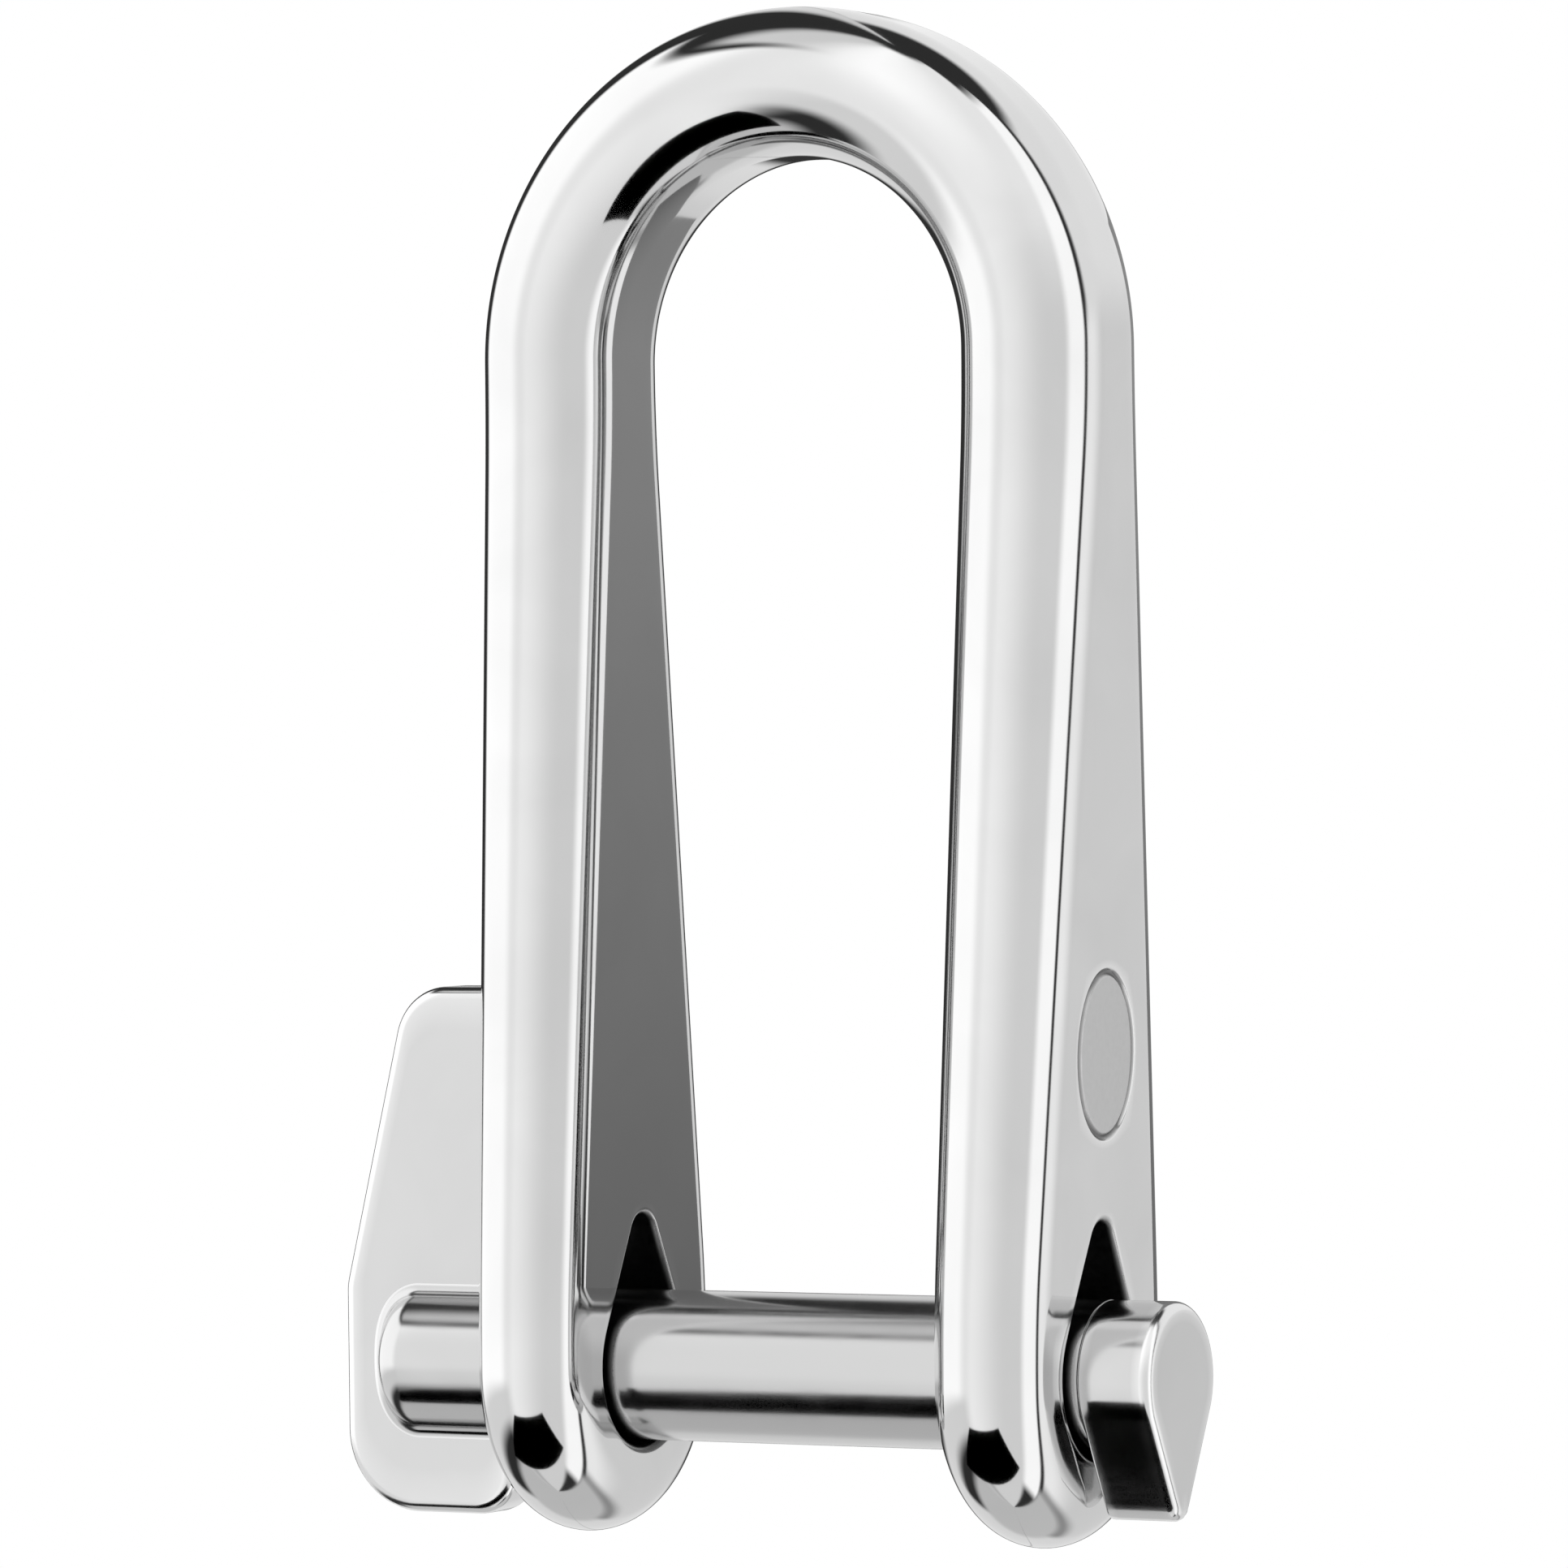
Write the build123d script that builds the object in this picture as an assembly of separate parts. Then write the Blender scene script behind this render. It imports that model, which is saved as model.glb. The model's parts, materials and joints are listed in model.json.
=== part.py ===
from build123d import *
import math
import os

# A long forged shackle with a captive key pin, in millimetres.
# The pin lies along X with its middle at the origin; the crown is up, towards +Z.
# The key lug is at the +X end of the pin and the turning lever at the -X end.

# ---- driving dimensions -------------------------------------------------------
PIN_DIAMETER = 6.0
INSIDE_WIDTH = 15.6          # between the flat inner faces of the two legs
CROWN_HEIGHT = 40.0          # pin axis to the centre of the half-round crown
CROWN_THICKNESS = 5.9        # bar thickness, measured across the bend
CROWN_FLAT = 1.8             # flat left between the bar's front and back rounds
EAR_THICKNESS = 4.8
EAR_WALL = 3.45              # metal left between the pin hole and the ear's rim
EASE = 0.12                  # share of the leg over which its taper starts and ends

# The keyhole and the key lug.
KEYHOLE_RISE = 2.75          # how far the keyhole runs past the rim of the pin hole
KEYHOLE_TIP_RADIUS = 0.95
LUG_LENGTH = 3.1             # along the pin

# The lever and the boss that joins it to the pin.
LEVER_THICKNESS = 2.4
LEVER_LENGTH = 7.9           # along the pin, at its widest
LEVER_HEIGHT = 15.1          # pin axis to the top of the lever
LEVER_FOOT = 3.15            # how far the lever reaches below the pin's underside
LEVER_SLOPE = 0.245          # lean of the outer edge: sideways for each unit of rise
LEVER_LIP = 2.0              # lever left outside the round end of the boss

# Clearances.
PIN_CLEARANCE = 0.25         # all round, pin in hole and lug in keyhole
TIP_CLEARANCE = 0.5          # end of the lug to the end of the keyhole
LUG_GAP = 0.25               # lug to the right leg, where they come closest
LEVER_GAP = 0.36             # lever to the left leg, where they come closest

# Edge rounds.
HOLE_ROUND = 0.3
LUG_ROUND = 0.45
LEVER_ROUND = 0.5
BOSS_END_ROUND = 1.6
BOSS_ROOT_ROUND = 0.6

# The blank mark on the right leg.
MARK_LEVEL = 0.3125          # share of the crown height
MARK_HEIGHT = 6.8
MARK_SHARE = 0.75            # of the width of the leg's flat
MARK_LINE = 0.4
MARK_DEPTH = 0.15

# ---- sizes that follow --------------------------------------------------------
pin_radius = PIN_DIAMETER / 2
hole_radius = pin_radius + PIN_CLEARANCE
inner_face = INSIDE_WIDTH / 2
ear_depth = 2 * (hole_radius + EAR_WALL)
crown_depth = CROWN_THICKNESS + CROWN_FLAT
keyhole_reach = hole_radius + KEYHOLE_RISE
lug_reach = keyhole_reach - TIP_CLEARANCE
lug_tip_radius = KEYHOLE_TIP_RADIUS - PIN_CLEARANCE


def taper(height):
    """How far the bar has gone from crown size (0) to ear size (1), easing at both ends."""
    down = 1 - height / CROWN_HEIGHT
    if down < EASE:
        run = down**2 / (2 * EASE)
    elif down < 1 - EASE:
        run = down - EASE / 2
    else:
        run = 1 - EASE - (1 - down) ** 2 / (2 * EASE)
    return run / (1 - EASE)


def leg_thickness(height):
    return CROWN_THICKNESS + (EAR_THICKNESS - CROWN_THICKNESS) * taper(height)


def leg_depth(height):
    return crown_depth + (ear_depth - crown_depth) * taper(height)


def outer_face(height):
    """Distance of a leg's outer face from the middle of the shackle."""
    return inner_face + leg_thickness(height)


# Along the pin: the lug clears the right leg, and the lever the left leg.
lug_start = outer_face(lug_reach) + LUG_GAP
free_end = lug_start + LUG_LENGTH
lever_inner = -outer_face(LEVER_HEIGHT) - LEVER_GAP
lever_outer = lever_inner - LEVER_LENGTH
boss_end = lever_outer + LEVER_LIP


def leg_section(height):
    """The bar's section at one height: flat sides, and full rounds front and back."""
    thickness = leg_thickness(height)
    middle = Plane(
        origin=(inner_face + thickness / 2, 0, height), x_dir=(0, 1, 0), z_dir=(0, 0, 1)
    )
    return middle * SlotOverall(leg_depth(height), thickness)


def right_leg():
    """One leg, drawn through sections that thin and widen from the crown to the ear."""
    levels = (1, 1 - EASE / 2, 1 - EASE, 0.7, 0.5, 0.3, EASE, EASE / 2, 0)
    return loft([leg_section(level * CROWN_HEIGHT) for level in levels])


def right_ear_end():
    """The round end below the pin: the front half of the section, turned about the pin."""
    in_front = Rectangle(2 * EAR_THICKNESS, ear_depth)
    in_front = Pos(inner_face + EAR_THICKNESS / 2, -ear_depth / 2, 0) * in_front
    return revolve(leg_section(0) & in_front, Axis.X, 180)


def crown():
    """The half-round top: the bar's section turned about the crown's own centre."""
    crown_axis = Axis((0, 0, CROWN_HEIGHT), (0, -1, 0))
    return revolve(leg_section(CROWN_HEIGHT), crown_axis, 180)


def teardrop(radius, tip_radius, reach):
    """A circle on the pin axis and a small circle above it, joined by straight flanks."""
    tip_centre = reach - tip_radius
    lean = math.asin((radius - tip_radius) / tip_centre)
    side = math.cos(lean)
    rise = math.sin(lean)
    low_left = (-radius * side, radius * rise)
    low_right = (radius * side, radius * rise)
    high_left = (-tip_radius * side, tip_centre + tip_radius * rise)
    high_right = (tip_radius * side, tip_centre + tip_radius * rise)
    outline = Wire(
        [
            ThreePointArc(low_left, (0, -radius), low_right).edge(),
            Line(low_right, high_right).edge(),
            ThreePointArc(high_right, (0, reach), high_left).edge(),
            Line(high_left, low_left).edge(),
        ]
    )
    return make_face(outline)


def across_pin(x, up):
    """A plane square to the pin at x, whose own Y axis points up (1) or down (-1)."""
    return Plane(origin=(x, 0, 0), x_dir=(0, up, 0), z_dir=(1, 0, 0))


def keyhole_cutter():
    """Pin hole and keyhole in one, long enough to pass through both ears."""
    half_length = outer_face(keyhole_reach) + EAR_THICKNESS
    outline = teardrop(hole_radius, KEYHOLE_TIP_RADIUS, keyhole_reach)
    return extrude(across_pin(-half_length, 1) * outline, 2 * half_length)


def hole_rims(body):
    """The keyhole's edges on the four flat faces of the ears."""
    slack = 0.01
    rims = []
    for edge in body.edges():
        box = edge.bounding_box()
        low_enough = box.max.Z < keyhole_reach + slack
        near_pin = box.min.Z > -hole_radius - slack and box.max.Y < hole_radius + slack
        along_face = box.size.X < EAR_THICKNESS / 2
        if low_enough and near_pin and box.min.Y > -hole_radius - slack and along_face:
            rims.append(edge)
    return rims


def blank_mark():
    """A shallow oval ring in the right leg's outer face, left blank inside."""
    level = MARK_LEVEL * CROWN_HEIGHT
    half_height = MARK_HEIGHT / 2
    half_width = MARK_SHARE * (leg_depth(level) - leg_thickness(level)) / 2
    swell = outer_face(level + half_height) - outer_face(level - half_height)
    lean = math.atan2(swell, MARK_HEIGHT)
    face = Plane(
        origin=(outer_face(level), 0, level),
        x_dir=(0, 1, 0),
        z_dir=(math.cos(lean), 0, -math.sin(lean)),
    )
    ring = Ellipse(half_width, half_height) - Ellipse(half_width - MARK_LINE, half_height - MARK_LINE)
    return extrude(face.offset(-MARK_DEPTH) * ring, 1)


def shackle_body():
    """Crown, two legs and two ears in one forging, with the keyhole through both ears."""
    right_side = right_leg() + right_ear_end()
    body = crown() + right_side + mirror(right_side, about=Plane.YZ)
    body = body - keyhole_cutter()
    body = fillet(hole_rims(body), HOLE_ROUND)
    return body - blank_mark()


def lever_outline():
    """The lever's broad face, square to Y: it narrows upwards and its corners are round."""
    foot = -pin_radius - LEVER_FOOT
    knee = pin_radius
    shoulder = lever_outer + LEVER_SLOPE * (LEVER_HEIGHT - knee)
    corners = {
        (lever_inner, foot): 1.8,
        (lever_outer, foot): 3.3,
        (lever_outer, knee): 2.5,
        (shoulder, LEVER_HEIGHT): 2.4,
        (lever_inner, LEVER_HEIGHT): 0.8,
    }
    face = Plane.XZ * make_face(Polyline(*corners, close=True))
    for (x, z), radius in corners.items():
        corner = face.vertices().sort_by_distance(Vector(x, 0, z))[0]
        face = fillet(corner, radius)
    return face


def broad_face_edges(solid):
    """Edges that lie wholly in one of the lever's two broad faces."""
    found = []
    for edge in solid.edges():
        box = edge.bounding_box()
        flat = box.size.Y < 0.001
        if flat and abs(abs(box.center().Y) - LEVER_THICKNESS / 2) < 0.001:
            found.append(edge)
    return found


def lever():
    plate = extrude(lever_outline(), LEVER_THICKNESS / 2, both=True)
    return fillet(broad_face_edges(plate), LEVER_ROUND)


def shaft_and_lug():
    """The round shaft, its domed boss end, and the lug, which hangs at rest."""
    shaft = extrude(across_pin(boss_end, 1) * Circle(pin_radius), free_end - boss_end)
    boss_rim = shaft.edges().filter_by(GeomType.CIRCLE).sort_by(Axis.X)[0]
    shaft = fillet(boss_rim, BOSS_END_ROUND)
    lug_shape = teardrop(pin_radius, lug_tip_radius, lug_reach)
    shaft = shaft + extrude(across_pin(lug_start, -1) * lug_shape, LUG_LENGTH)
    end_rim = [edge for edge in shaft.edges() if edge.bounding_box().min.X > free_end - 0.001]
    return fillet(end_rim, LUG_ROUND)


def key_pin():
    """Lever, boss, shaft and lug in one forging, with hollow rounds where the boss leaves the lever."""
    pin = shaft_and_lug() + lever()
    boss_lines = []
    for edge in broad_face_edges(pin):
        box = edge.bounding_box()
        if box.min.X > boss_end - 0.01 and max(abs(box.min.Z), abs(box.max.Z)) < pin_radius:
            boss_lines.append(edge)
    return fillet(boss_lines, BOSS_ROOT_ROUND)


os.makedirs("parts", exist_ok=True)
for name, shape in (("shackle_body", shackle_body()), ("key_pin", key_pin())):
    solid = shape.solid()
    solid.label = name
    export_step(solid, f"parts/{name}.step")
    print(name, solid.is_valid, round(solid.volume, 1), solid.bounding_box())
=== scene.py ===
# %% [markdown]
# # A key-pin shackle in polished stainless steel
#
# A shackle joins a sail or a line to something else on a boat. This one is a long U of
# forged stainless steel with flattened ears, closed by a pin with a flat lever at one
# end and a small lug, the key, at the other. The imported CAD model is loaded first. It
# fixes every size and every movement, and everything made here stays inside it.

# %% Load the frame and the tools
import json
import math

import bmesh
import bpy
import numpy as np
from mathutils import Matrix, Vector


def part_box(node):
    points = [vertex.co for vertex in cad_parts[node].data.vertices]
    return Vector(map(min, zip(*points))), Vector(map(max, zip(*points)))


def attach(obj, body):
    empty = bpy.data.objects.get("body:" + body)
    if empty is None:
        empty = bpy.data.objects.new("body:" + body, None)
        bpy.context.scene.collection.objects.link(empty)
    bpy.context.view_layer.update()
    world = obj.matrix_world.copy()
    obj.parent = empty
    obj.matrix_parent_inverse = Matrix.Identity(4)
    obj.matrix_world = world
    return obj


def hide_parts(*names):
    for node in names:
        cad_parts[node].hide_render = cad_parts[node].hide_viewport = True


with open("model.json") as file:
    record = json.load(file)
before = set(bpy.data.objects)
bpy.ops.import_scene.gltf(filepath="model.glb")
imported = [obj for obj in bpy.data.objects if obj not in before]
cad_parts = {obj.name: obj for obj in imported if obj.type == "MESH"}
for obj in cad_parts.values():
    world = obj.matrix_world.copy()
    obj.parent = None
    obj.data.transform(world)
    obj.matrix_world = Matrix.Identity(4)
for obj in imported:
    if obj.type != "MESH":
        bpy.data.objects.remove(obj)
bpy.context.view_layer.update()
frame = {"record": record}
body_low, body_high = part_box("shackle_body")
pin_low, pin_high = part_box("key_pin")
mounts = {mount["name"]: mount for mount in frame["record"]["mounts"]}

# %% [markdown]
# ## Sizes
#
# The large sizes are read from the frame, in metres. The small ones, such as edge
# rounds and clearances, are the same as in the CAD model, so each new surface lies on
# the CAD surface that it stands for.

# %% Read the sizes
mm = 0.001
pin_radius = mounts["pin_span"]["dims"]["r_mm"] * mm
inner_face = mounts["pin_span"]["dims"]["length_mm"] * mm / 2
crown_centre = mounts["bow_saddle"]["pos_m"][2]
crown_flat = mounts["bow_saddle"]["dims"]["length_mm"] * mm
crown_thickness = body_high.z - crown_centre - inner_face
crown_depth = crown_thickness + crown_flat
ear_depth = -2 * body_low.z
ear_thickness = 4.8 * mm
ease = 0.12  # share of the leg over which the taper starts, and over which it stops
pin_clearance = 0.25 * mm  # all round, pin in hole and lug in keyhole
tip_clearance = 0.5 * mm  # end of the lug to the end of the keyhole
keyhole_rise = 2.75 * mm  # from the pin hole's rim to the keyhole's tip
hole_radius = pin_radius + pin_clearance
keyhole_reach = hole_radius + keyhole_rise
keyhole_tip = 0.95 * mm
hole_round = 0.3 * mm
print("pin radius", pin_radius, "inside half width", inner_face, "crown bar", crown_thickness)

# %% [markdown]
# ## The camera
#
# It looks at the shackle nearly level, a little from the right, from about a third of
# a metre away, through a long lens. That is how small hardware is usually pictured: a
# long lens keeps the two legs almost parallel. The camera is turned a fraction of a
# degree about its own line of sight.

# %% Place the camera
camera_side = math.radians(28.87)
camera_height = math.radians(0.1)
camera_roll = math.radians(-0.71)
camera_distance = 322 * mm
lens_length = 186.9
sensor_width = 36
aim_across = -1.19 * mm
aim_drop = 0.385 * mm
aim = Vector((aim_across, 0, (body_low.z + body_high.z) / 2 - aim_drop))

towards_camera = Vector(
    (
        math.sin(camera_side) * math.cos(camera_height),
        -math.cos(camera_side) * math.cos(camera_height),
        math.sin(camera_height),
    )
)
camera_right = Vector((math.cos(camera_side), math.sin(camera_side), 0))
camera_up = towards_camera.cross(camera_right)
rolled_right = math.cos(camera_roll) * camera_right + math.sin(camera_roll) * camera_up
rolled_up = math.cos(camera_roll) * camera_up - math.sin(camera_roll) * camera_right

lens = bpy.data.cameras.new("camera")
lens.sensor_width = sensor_width
lens.lens = lens_length
lens.clip_start = 10 * mm
camera = bpy.data.objects.new("camera", lens)
bpy.context.scene.collection.objects.link(camera)
axes = Matrix((rolled_right, rolled_up, towards_camera)).transposed().to_4x4()
camera.matrix_world = Matrix.Translation(aim + towards_camera * camera_distance) @ axes
bpy.context.scene.camera = camera
print("camera at", [round(v, 4) for v in camera.matrix_world.translation])

# %% [markdown]
# ## From grids to a mesh
#
# Every surface here is a grid of points: one number says how far along, the other how
# far round. A mirror finish shows the slightest unevenness, so the points are worked
# out from formulas, and none is placed by hand. One function joins the grids of a
# piece into a mesh. It merges the points that two grids share, which leaves a closed
# shell, and turns all faces outwards.

# %% Grid helpers
merge_distance = 0.002 * mm
sharp_corner = math.radians(40)


def grid_faces(rows, columns, wrapped, opening):
    """The four corners of each cell, as index arrays, leaving out the cells in the opening."""
    row = np.arange(rows - 1)[:, None]
    column = np.arange(columns if wrapped else columns - 1)[None, :]
    here = row * columns + column
    beside = row * columns + (column + 1) % columns
    cells = np.stack([here, beside, beside + columns, here + columns], -1)
    if opening is None:
        return cells.reshape(-1, 4)
    first_row, last_row, first_column, last_column = opening
    inside_rows = (row >= first_row) & (row < last_row)
    inside_columns = (column >= first_column) & (column < last_column)
    return cells[~(inside_rows & inside_columns)]


def piece_from_grids(name, grids):
    """Joins (points, wrapped, opening) grids into one smooth mesh object, shared edges merged."""
    points, faces, count = [], [], 0
    for grid, wrapped, opening in grids:
        rows, columns = grid.shape[:2]
        points.append(grid.reshape(-1, 3))
        faces.append(grid_faces(rows, columns, wrapped, opening) + count)
        count += rows * columns
    mesh = bpy.data.meshes.new(name)
    mesh.from_pydata(np.concatenate(points).tolist(), [], np.concatenate(faces).tolist())
    work = bmesh.new()
    work.from_mesh(mesh)
    bmesh.ops.remove_doubles(work, verts=work.verts, dist=merge_distance)
    bmesh.ops.recalc_face_normals(work, faces=work.faces)
    open_edges = sum(not edge.is_manifold for edge in work.edges)
    loose = [vertex for vertex in work.verts if not vertex.link_faces]
    bmesh.ops.delete(work, geom=loose, context="VERTS")
    work.to_mesh(mesh)
    work.free()
    mesh.polygons.foreach_set("use_smooth", np.ones(len(mesh.polygons), bool))
    mesh.set_sharp_from_angle(angle=sharp_corner)
    piece = bpy.data.objects.new(name, mesh)
    bpy.context.scene.collection.objects.link(piece)
    print(name, "faces", len(mesh.polygons), "open edges", open_edges)
    return piece


def between(start, stop, count):
    """Rows of points evenly spaced on straight lines between two rows of points."""
    share = np.linspace(0, 1, count)[:, None, None]
    return (1 - share) * start[None] + share * stop[None]


# %% [markdown]
# ## The bar that the body is forged from
#
# The section of the bar is a flat strip with a full round on its front and back. From
# the crown down to the ears it gets thinner and deeper, because the smith flattens the
# ends to make room for the pin hole. The change starts and stops gently, so that a
# reflection runs down the leg with no kink.

# %% Size of the bar at each height
def taper(height):
    """How far from crown size (0) to ear size (1): a straight run with a parabola at each end."""
    down = np.clip(1 - height / crown_centre, 0, 1)
    start = down**2 / (2 * ease)
    middle = down - ease / 2
    end = 1 - ease - (1 - down) ** 2 / (2 * ease)
    return np.where(down < ease, start, np.where(down < 1 - ease, middle, end)) / (1 - ease)


def bar_thickness(height):
    """Thickness of the bar from its inner flat to its outer flat."""
    return crown_thickness + (ear_thickness - crown_thickness) * taper(height)


def half_flat(height):
    """Half the width of the bar's flat: half its depth, less the radius of its round."""
    depth = crown_depth + (ear_depth - crown_depth) * taper(height)
    return (depth - bar_thickness(height)) / 2


def on_outer_face(y, z):
    """Points on the right leg's outer face."""
    return np.stack([inner_face + bar_thickness(z), y, z], -1)


print("bar thickness at the crown and the ear:", bar_thickness(crown_centre), bar_thickness(0.0))

# %% [markdown]
# ## Legs and crown
#
# One grid follows the bar up the right leg, over the crown and down the left leg. At
# each step the section is drawn as a loop: across the inner flat, round the front,
# across the outer flat, round the back. The ears come after, since they have a hole.

# %% The bar's path, and the loop round it
above_keyhole = 1.6 * mm
ear_top = keyhole_reach + above_keyhole
flat_steps = 40
round_steps = 40
leg_stations = 60
crown_steps = 160
across = np.linspace(-1, 1, flat_steps + 1)
half_turn = np.linspace(0, np.pi, round_steps + 1)

leg_heights = np.linspace(ear_top, crown_centre, leg_stations)
crown_angles = np.linspace(0, np.pi, crown_steps + 1)[1:-1]
station_angle = np.concatenate([0 * leg_heights, crown_angles, 0 * leg_heights + np.pi])
station_height = np.concatenate([leg_heights, 0 * crown_angles + crown_centre, leg_heights[::-1]])


def bar_loop(height):
    """Section at each height as (distance out from the inner face, y): two flats, two half rounds."""
    radius = bar_thickness(height)[:, None] / 2
    flat = half_flat(height)[:, None]
    inner = np.stack([0 * flat * across, -flat * across], -1)
    front = np.stack([radius * (1 - np.cos(half_turn)), -flat - radius * np.sin(half_turn)], -1)
    outer = np.stack([2 * radius + 0 * across, flat * across], -1)
    back = np.stack([radius * (1 + np.cos(half_turn)), flat + radius * np.sin(half_turn)], -1)
    return np.concatenate([inner[:, :-1], front[:, :-1], outer[:, :-1], back[:, :-1]], 1)


def legs_and_crown():
    """Each loop stands on a ray from the crown's centre; on the legs the ray is level."""
    loop = bar_loop(station_height)
    out = inner_face + loop[..., 0]
    angle = station_angle[:, None]
    lift = np.where((angle > 0) & (angle < np.pi), np.sin(angle), 0)
    x = out * np.cos(angle)
    z = station_height[:, None] + out * lift
    return np.stack([x, loop[..., 1], z], -1)


bar = legs_and_crown()
print("legs and crown:", bar.shape)

# %% [markdown]
# ## The maker's oval
#
# On the outside of one leg the forging carries an oval ring pressed into the steel,
# where a maker's sign would go. Here the oval stays blank. A window is left open in
# the leg's grid, and spokes run from the window's edge to the middle of the oval, so
# the ring is drawn by points that follow it exactly.

# %% The pressed oval
mark_height = 6.8 * mm
mark_middle = 0.3125 * crown_centre
mark_share = 0.75  # of the flat's width
mark_width = mark_share * 2 * float(half_flat(mark_middle))
mark_line = 0.4 * mm
mark_depth = 0.15 * mm
mark_guard = 0.03 * mm  # a flat lip beside the line keeps its shading off the leg's face
window_margin = 1.1 * mm  # above and below the oval
side_columns = 2  # columns of the flat left standing at each side of the window
window_reach = mark_height / 2 + window_margin
mark_rows = np.flatnonzero((station_angle == 0) & (np.abs(station_height - mark_middle) < window_reach))
outer_flat_start = flat_steps + round_steps
mark_opening = (
    mark_rows[0],
    mark_rows[-1],
    outer_flat_start + side_columns,
    outer_flat_start + flat_steps - side_columns,
)


def pressed_mark():
    """Rows are ovals: from the window's edge in to the groove, across it, and on to the middle.

    The groove is half a cosine wave deep, and is pressed straight in from the leg's face.
    """
    first_row, last_row, first_column, last_column = mark_opening
    rows = np.arange(first_row, last_row + 1)
    columns = np.arange(first_column, last_column + 1)
    window = np.concatenate(
        [
            bar[first_row, columns[:-1]],
            bar[rows[:-1], last_column],
            bar[last_row, columns[:0:-1]],
            bar[rows[:0:-1], first_column],
        ]
    )
    angle = np.arctan2(window[:, 1], window[:, 2] - mark_middle)

    def oval(distance, depth):
        """A ring at a distance out from the middle of the line, pressed in by a depth."""
        half_width = (mark_width - mark_line) / 2 + distance
        half_height = (mark_height - mark_line) / 2 + distance
        radius = 1 / np.sqrt((np.sin(angle) / half_width) ** 2 + (np.cos(angle) / half_height) ** 2)
        y = radius * np.sin(angle)
        z = mark_middle + radius * np.cos(angle)
        return on_outer_face(y, z) - np.array([depth, 0, 0])

    steps = np.linspace(1, -1, 13)
    depths = mark_depth * (1 + np.cos(np.pi * steps)) / 2
    groove = np.stack([oval(step * mark_line / 2, depth) for step, depth in zip(steps, depths)])
    middle = on_outer_face(0 * angle, 0 * angle + mark_middle)
    outer_lip = oval(mark_line / 2 + mark_guard, 0)
    inner_lip = oval(-mark_line / 2 - mark_guard, 0)
    border = between(window, outer_lip, 5)
    inner_field = between(inner_lip, middle, 14)
    border, inner_field = (on_outer_face(rows[..., 1], rows[..., 2]) for rows in (border, inner_field))
    return np.concatenate([border, groove, inner_field])


# %% [markdown]
# ## Ears
#
# Below the legs the bar ends in a round, flat ear. Its rim is a half round carried
# down the front edge, round under the pin and up the back. Its two faces are flat
# rings: each runs from the rim in to the keyhole, turns over the keyhole's rounded
# edge and goes through the hole, so both faces and the hole are one grid.
#
# The keyhole is a teardrop: a circle on the pin's axis and a small circle above it,
# joined by two straight lines that touch both.

# %% The keyhole's outline
def teardrop(angle, radius, tip_radius, reach):
    """Distance from the pin's axis to a teardrop, angle measured from the line to its tip.

    Beyond the angle where the straight side touches it, the big circle gives its own
    radius. Between the two touching points it is the side's distance over the cosine of
    the angle to its normal. Near the tip it is the far crossing of the small circle.
    """
    angle = np.abs(angle)
    centre = reach - tip_radius
    lean = np.arcsin((radius - tip_radius) / centre)
    side_normal = np.pi / 2 - lean
    tip_touch = np.arctan2(tip_radius * np.cos(lean), centre + tip_radius * np.sin(lean))
    side = radius / np.cos(np.clip(side_normal - angle, 0, 1.5))
    under_root = np.maximum(tip_radius**2 - (centre * np.sin(angle)) ** 2, 0)
    tip = centre * np.cos(angle) + np.sqrt(under_root)
    return np.where(angle < tip_touch, tip, np.where(angle < side_normal, side, radius))


# %% [markdown]
# The ear has the leg's own thickness and depth at its top, so the two join with no step.
# The rim's points and the face's outer points are the same ones, and so merge.

# %% The rim and the two faces of an ear
edge_steps = 40
under_steps = 120
edge_heights = np.linspace(ear_top, 0, edge_steps + 1)
under_angles = np.linspace(0, np.pi, under_steps + 1)[1:-1]
rim_height = np.concatenate([edge_heights, 0 * under_angles, edge_heights[::-1]])
rim_angle = np.concatenate([0 * edge_heights, under_angles, 0 * edge_heights + np.pi])


def ear_rim():
    """Half round: out from the middle of the ear by cosine, and across its thickness by sine."""
    radius = bar_thickness(rim_height)[:, None] / 2
    swing = half_turn[None, :] - np.pi / 2
    out = half_flat(rim_height)[:, None] + radius * np.cos(swing)
    x = inner_face + radius + radius * np.sin(swing)
    y = -out * np.cos(rim_angle)[:, None]
    z = rim_height[:, None] - out * np.sin(rim_angle)[:, None]
    return np.stack([x, y, z], -1)


def ear_faces():
    """Rows run from the outer rim in to the keyhole, through it and out to the inner rim."""
    flat = half_flat(rim_height)
    top_y = -half_flat(np.array(ear_top)) * across[1:-1]
    y = np.concatenate([-flat * np.cos(rim_angle), top_y])
    z = np.concatenate([rim_height - flat * np.sin(rim_angle), 0 * top_y + ear_top])
    from_tip = np.arctan2(y, z)

    def keyhole(offset):
        """The keyhole's outline drawn outwards by an offset, as y and z."""
        distance = teardrop(from_tip, hole_radius + offset, keyhole_tip + offset, keyhole_reach + offset)
        return distance * np.sin(from_tip), distance * np.cos(from_tip)

    face_rows = between(np.stack([y, z], -1), np.stack(keyhole(hole_round), -1), 7)
    outer_rows = on_outer_face(face_rows[..., 0], face_rows[..., 1])
    inner_rows = outer_rows.copy()
    inner_rows[..., 0] = inner_face
    turn = np.linspace(0, np.pi / 2, 9)[1:, None]
    round_y, round_z = keyhole(hole_round * (1 - np.sin(turn)))
    drop = hole_round * (1 - np.cos(turn))
    outer_round = np.stack([outer_rows[-1, :, 0] - drop, round_y, round_z], -1)
    inner_round = np.stack([inner_rows[-1, :, 0] + drop, round_y, round_z], -1)
    wall = between(outer_round[-1], inner_round[-1], 6)[1:-1]
    return np.concatenate([outer_rows, outer_round, wall, inner_round[::-1], inner_rows[::-1]])


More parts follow.
